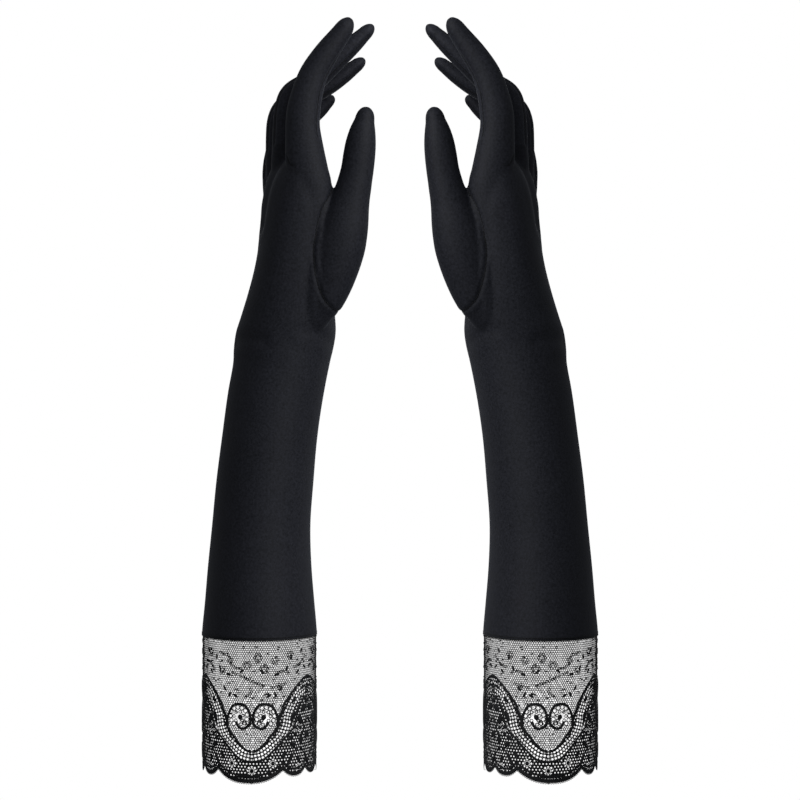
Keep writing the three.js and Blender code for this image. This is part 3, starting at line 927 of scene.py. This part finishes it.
FINE_NET = (1.3, 0.42, 0.28)  # pitch, thread width and thickness
LATTICE = (1.85, 1.12, 0.5)
LATTICE_GAP = 2.9  # from the lattice to the bead band and the flowers
BEAD_ROWS, BEAD_PITCH = (-1.85, 0, 1.85), 1.9  # rows of holes beside the bead band's line
# Rings of bound holes: the hole's radius and its thread.
SPRAY_RING, BLOSSOM_RING, BEAD_RING, EDGE_RING = (0.6, 0.45), (0.7, 0.4), (0.98, 0.62), (0.42, 0.34)
HEART_RING, PETAL_RING = (0.85, 0.5), (0.8, 0.5)
SPIRAL_RINGS = ((4.9, 11, 1.12), (2.7, 6, 0.8))  # how far from its middle, how many, the holes' radius
SPIRAL_HEART = [(4, 32.6), (6, 32.2), (5, 34.2)]
RAISED_CORDS = [(OGEE, 1.45), (SPIRAL, 1.5), (SWAG, 1.2)] + [(line, 1.1) for line in SIDE_CORDS]
CORD_HEIGHT, CORD_LIFT = 0.95, 0.25
EDGE_CORDS = ((0.6, 1.2), (1.5, 1.3), (3.7, 1.2))  # how far above the scalloped edge, and how wide
TOP_CORDS = ((-0.3, 0.9), (0.9, 0.45))  # how far above the sleeve's lower edge, and how wide
EDGE_STEPS = 600
TIES, TIE_RISES = 116, (1.4, 2.4, 3.2)  # the short threads between the edge's cords
SPRAYS = [  # small sprigs in the net, as rows of beads; these have no mirror image
    [(-10.6, 59.6), (-5, 57.6), (1, 54.8), (6.4, 52.8)], [(10.4, 51.8), (14.4, 52), (18.7, 53.6)],
    [(14.4, 59.8), (17.4, 60.4), (20.5, 59.3)], [(-14, 66), (-10, 62.6), (-6.4, 62)],
    [(-21, 70), (-15, 69), (-11.4, 66.4)], [(-3.4, 46.8), (0, 49.6), (-1.4, 52)],
    [(24, 62), (29, 63.4), (34, 67.4)], [(-24, 60), (-29, 64), (-34, 64.6)],
]
BLOSSOMS = [(6.6, 61.6), (3.4, 68), (-2.6, 63.6), (22, 68.6), (-28, 69.6), (12.6, 66.4), (-18, 60.4)]
DASHES = 560  # short thickened threads spread over the net
SPRIGS = [  # small leaves in the net: u, v, length, width, lean
    (9.2, 47.4, 3.6, 1.5, 30), (13, 47.8, 3.4, 1.4, 120), (16, 51, 3.4, 1.4, 60), (5.4, 60.6, 3.2, 1.4, 150),
    (13.6, 58.6, 3.4, 1.5, 20), (19.6, 61.6, 3.6, 1.5, 70), (27.4, 59.4, 3.4, 1.4, 40),
    (22.6, 67.6, 3.4, 1.4, 110), (33.4, 61.6, 3.4, 1.4, 150), (30.6, 70.4, 3.2, 1.4, 60),
]


def wrap(points):
    """Places of the flat lace on the arm: how far round, how high, how far out."""
    turn = LACE_TURN + np.interp(points[:, 0] % ROUND, RUN, TURN)
    out = np.stack([np.cos(turn) / LACE_DEPTH, np.sin(turn) / LACE_WIDTH, 0 * turn], 1)
    out /= np.linalg.norm(out, axis=1)[:, None]
    oval_place = np.stack([LACE_DEPTH * np.cos(turn), LACE_WIDTH * np.sin(turn), points[:, 1]], 1)
    return oval_place + points[:, 2:3] * out


def in_repeat(u):
    """How far a place is from the middle of its repeat."""
    return np.abs((u + REPEAT / 2) % REPEAT - REPEAT / 2)


def lace_edge(u):
    """The height of the scalloped edge."""
    away = in_repeat(u + EDGE_SHIFT)
    wide = 0.9 + 6.6 * (away / SCALLOP) ** 2.4
    little = 3.6 + 3.9 * (np.abs(away - SCALLOP - LITTLE_SCALLOP) / LITTLE_SCALLOP) ** 2.4
    return np.where(away < SCALLOP, wide, little)


def copies(line):
    """A line of one half of a repeat, on both sides of each repeat."""
    line = np.asarray(line, float)
    return [line * (mirror, 1) + (k * REPEAT, 0) for k in range(REPEATS) for mirror in (1, -1)]


def cord(shape, line, width, height, lift=0.0, closed=False):
    """A flat cord along a line of the flat lace; its width may change along it."""
    line = np.column_stack([line, np.full(len(line), lift)])
    along = np.gradient(line, axis=0)
    side = np.cross(along, Z_AXIS)
    side /= np.maximum(np.linalg.norm(side, axis=1), 1e-9)[:, None]
    up = np.broadcast_to(Z_AXIS, line.shape)
    shape.add(*sweep(line, side, up, np.asarray(width) / 2, height / 2, 6, closed))


LEAF_HEIGHT, LEAF_LIFT = 0.8, 0.1


def leaf(shape, u, v, length, width, lean):
    """A solid leaf: a cord that swells in its middle."""
    share = np.linspace(-1, 1, 9)
    way = np.array([math.cos(math.radians(lean)), math.sin(math.radians(lean))])
    line = np.array([u, v]) + share[:, None] * way * length / 2
    cord(shape, line, width * np.sqrt(1.02 - share**2), LEAF_HEIGHT, LEAF_LIFT)


def leaves(shape, listed):
    """Leaves of one half of a repeat, and their mirror images, in every repeat."""
    for u, v, length, width, lean in listed:
        for k in range(REPEATS):
            leaf(shape, u + k * REPEAT, v, length, width, lean)
            leaf(shape, -u + k * REPEAT, v, length, width, 180 - lean)


def rings(shape, centres, radius, thread):
    """Bound round holes: a ring of thread round each centre."""
    centres = np.asarray(centres, float)
    round_sides, thread_sides = 10, 4
    a = np.linspace(0, 2 * math.pi, round_sides, endpoint=False)[:, None]
    b = np.linspace(0, 2 * math.pi, thread_sides, endpoint=False)[None]
    reach = radius + thread / 2 * np.cos(b)
    ring = np.stack(np.broadcast_arrays(reach * np.cos(a), reach * np.sin(a), thread / 2 * np.sin(b)), -1)
    ring = ring.reshape(-1, 3)
    size = len(ring)
    base = np.column_stack([centres, np.zeros(len(centres))])
    points = (base[:, None] + ring[None]).reshape(-1, 3)
    quads = ring_quads(round_sides, thread_sides, closed=True)[:, ::-1]
    shape.add(points, (quads[None] + size * np.arange(len(centres))[:, None, None]).reshape(-1, 4))


# The quads of one thread of a net: corners 0 to 3 are at its start, 4 to 7 at its end.
PRISM = np.array([[4, 5, 1, 0], [5, 6, 2, 1], [6, 7, 3, 2], [7, 4, 0, 3], [0, 1, 2, 3], [7, 6, 5, 4]])
THREAD_LAP = 0.3  # how far a net's threads run past each other, in thread widths


def net(shape, pitch, thread, thickness, keep):
    """A net of six-sided holes over the flat lace, where keep(points) is true."""
    columns = round(ROUND / pitch)
    pitch = ROUND / columns
    rows = int(CUFF_TOP / (pitch * math.sqrt(0.75))) + 2
    i, j = (grid.ravel() for grid in np.meshgrid(np.arange(columns), np.arange(rows)))
    cell = np.stack([(i + 0.5 * (j % 2)) * pitch, j * pitch * math.sqrt(0.75)], 1)
    corner = pitch / math.sqrt(12)
    top, left, right, low = (0, 2 * corner), (-pitch / 2, corner), (pitch / 2, corner), (pitch / 2, -corner)
    start = np.vstack([cell + top, cell + top, cell + right])
    end = np.vstack([cell + right, cell + left, cell + low])
    kept = keep((start + end) / 2)
    start, end = start[kept], end[kept]
    way = (end - start) / np.linalg.norm(end - start, axis=1)[:, None]
    start, end = start - THREAD_LAP * thread * way, end + THREAD_LAP * thread * way
    side = np.column_stack([way[:, 1], -way[:, 0], 0 * way[:, 0]]) * thread / 2
    out = np.array([0, 0, thickness / 2])
    flat = [np.column_stack([place, np.zeros(len(place))]) for place in (start, end)]
    points = np.stack([place + reach for place in flat for reach in (side, out, -side, -out)], 1)
    quads = PRISM[None] + 8 * np.arange(len(start))[:, None, None]
    shape.add(points.reshape(-1, 3), quads.reshape(-1, 4))


def away_from(points, spots):
    """How far places of the flat lace are from the nearest of some spots of one half of a repeat."""
    places = np.column_stack([in_repeat(points[:, 0]), points[:, 1]])
    return np.sqrt(((places[:, None] - np.array(spots)[None]) ** 2).sum(2)).min(1)


def above_ogee(points):
    u, v = np.array(OGEE).T
    return points[:, 1] > np.interp(in_repeat(points[:, 0]), u, v)


def round_spot(spot, reach, count):
    """Places evenly spread on a circle."""
    turn = np.linspace(0, 2 * math.pi, count, endpoint=False)
    return spot + reach * np.stack([np.cos(turn), np.sin(turn)], 1)


def build_net():
    """The fine net, with its sprigs."""
    shape = Shape()

    def fine(points):
        clear = away_from(points, [SPIRAL_MIDDLE]) > SPIRAL_INSIDE
        return clear & above_ogee(points) & (points[:, 1] < NET_TOP)

    net(shape, *FINE_NET, fine)
    for k in range(REPEATS):
        for spray in SPRAYS:
            rings(shape, resample(smooth_line(spray, 20), 1.5) + (k * REPEAT, 0), *SPRAY_RING)
        for u, v in BLOSSOMS:
            rings(shape, round_spot((u + k * REPEAT, v), 1.7, 6), *BLOSSOM_RING)
    chance = np.random.default_rng(7)
    spots = np.column_stack([chance.uniform(0, ROUND, DASHES), chance.uniform(20, NET_TOP - 1.5, DASHES)])
    spots = spots[above_ogee(spots - (0, 2))]
    lengths, leans = chance.uniform(1.2, 2.8, len(spots)), chance.uniform(-28, 28, len(spots))
    for (u, v), length, lean in zip(spots, lengths, leans):
        leaf(shape, u, v, length, 0.62, lean)
    leaves(shape, SPRIGS)
    return shape


def bead_rows(line, offsets, pitch):
    """Rows of evenly spread points beside a line."""
    line = resample(smooth_line(line, 120), 0.3)
    along = np.gradient(line, axis=0)
    side = np.stack([-along[:, 1], along[:, 0]], 1)
    side /= np.linalg.norm(side, axis=1)[:, None]
    return [resample(line + offset * side, pitch) for offset in offsets]


def build_motif():
    """The heavy part of the lace below the ogee: lattice, bead bands, flowers and leaves."""
    shape = Shape()
    band = resample(smooth_line(BEAD_BAND, 80), 0.8)

    def heavy(points):
        inside = (points[:, 1] > lace_edge(points[:, 0]) + 1.4) & ~above_ogee(points)
        return inside & (away_from(points, np.vstack([band, FLOWERS])) > LATTICE_GAP)

    net(shape, *LATTICE, heavy)
    for row in bead_rows(BEAD_BAND, BEAD_ROWS, BEAD_PITCH):
        for line in copies(row):
            rings(shape, line[line[:, 1] > lace_edge(line[:, 0]) + 1.2], *BEAD_RING)
    for around, count, hole in SPIRAL_RINGS:
        turn = np.linspace(math.radians(-55), math.radians(225), count)
        arc = np.stack([around * np.cos(turn), around * np.sin(turn)], 1) + SPIRAL_MIDDLE
        for line in copies(arc):
            rings(shape, line, hole, 0.5)
    for line in copies(SPIRAL_HEART):
        rings(shape, line, *HEART_RING)
    for flower in FLOWERS:
        for line in copies(round_spot(flower, 2.3, 8)):
            rings(shape, line, *PETAL_RING)
        for ((u, v),) in copies([flower]):
            leaf(shape, u, v, 2.4, 2.4, 0)
    leaves(shape, LEAVES)
    return shape


def build_cords():
    """The raised cords, the dense scalloped edge with its loops, and the seam at the top."""
    shape = Shape()
    for line, width in RAISED_CORDS:
        for copy in copies(resample(smooth_line(line, 120), 0.7)):
            cord(shape, copy, width, CORD_HEIGHT, CORD_LIFT)
    around = np.linspace(0, ROUND, EDGE_STEPS, endpoint=False)
    edge = lace_edge(around)
    for rise, width in EDGE_CORDS:
        cord(shape, np.stack([around, edge + rise], 1), width, 0.6, closed=True)
    ties = np.linspace(0, ROUND, TIES, endpoint=False)
    for u, low in zip(ties, lace_edge(ties)):
        cord(shape, np.array([(u, low + rise) for rise in TIE_RISES]), 0.55, 0.4)
    outline = resample(np.stack([around, edge], 1), 1.3)
    rings(shape, outline - (0, 0.1), *EDGE_RING)
    for rise, width in TOP_CORDS:
        top = np.full(EDGE_STEPS, CUFF_TOP + rise)
        cord(shape, np.stack([around, top], 1), width, 0.7, 0.35, closed=True)
    return shape


def build_lace():
    built = {"net": (build_net(), NET_THREAD), "motif": (build_motif(), CORD_THREAD),
             "edge": (build_cords(), CORD_THREAD)}
    for name, (shape, thread) in built.items():
        points, quads, _ = shape.whole()
        # The threads that face the arm get the painted pale glow.
        inner = ("inner", points[:, 2] < INNER_SIDE)
        for side in SIDES:
            piece = add_piece(f"lace_{name}", wrap(points), quads, side, [thread], marks=inner)
            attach(piece, f"{side}_arm")
            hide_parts(f"{side}_lace_cuff")


build_skin()
build_lace()

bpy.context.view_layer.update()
light_pieces(side_lights, made_pieces)
